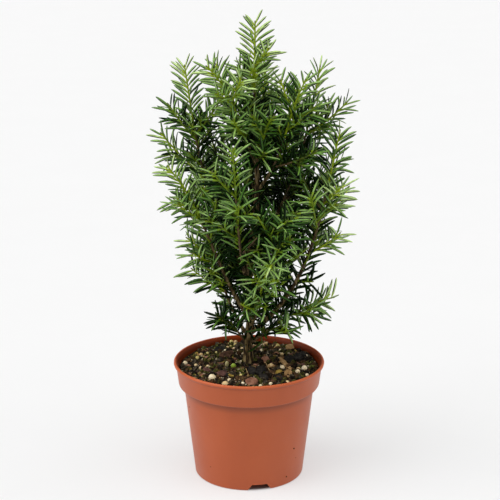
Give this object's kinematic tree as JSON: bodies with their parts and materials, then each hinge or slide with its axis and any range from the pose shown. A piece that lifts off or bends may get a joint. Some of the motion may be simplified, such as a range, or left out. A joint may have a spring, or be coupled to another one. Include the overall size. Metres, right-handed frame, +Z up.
{
  "type": "potted english yew",
  "caption": "Young upright English yew with ascending boughs of short dark needles, in a round plastic nursery pot filled with potting mix.",
  "frame": {"origin": "centre of the pot's flat underside", "axes": "+Z up along the plant, +X to its right, -Y to its front"},
  "size_m": [0.2038, 0.1844, 0.4615],
  "materials": {
    "terracotta_plastic": "satin",
    "potting_mix": "matte",
    "bark": "matte",
    "needles": "satin"
  },
  "bodies": {
    "root": {"pot": "terracotta_plastic", "soil": "potting_mix", "trunk": "bark", "bough_left_low": "bark", "bough_right_low": "bark", "bough_left_high": "bark", "bough_right_high": "bark", "bough_left_top": "bark", "bough_right_top": "bark", "bough_front_left": "bark", "bough_front_right": "bark", "bough_front_low": "bark", "bough_right_skirt": "bark", "bough_left_skirt": "bark", "bough_back_left": "bark", "bough_back_right": "bark", "bough_back_low": "bark", "bough_back_high": "bark", "foliage_left_low": "needles", "foliage_right_low": "needles", "foliage_left_high": "needles", "foliage_right_high": "needles", "foliage_left_top": "needles", "foliage_right_top": "needles", "foliage_front_left": "needles", "foliage_front_right": "needles", "foliage_front_low": "needles", "foliage_right_skirt": "needles", "foliage_left_skirt": "needles", "foliage_back_left": "needles", "foliage_back_right": "needles", "foliage_back_low": "needles", "foliage_back_high": "needles", "foliage_top_back": "needles", "foliage_top_front": "needles", "foliage_foot_left": "needles", "foliage_foot_right": "needles", "foliage_leader": "needles"}
  },
  "joints": []
}
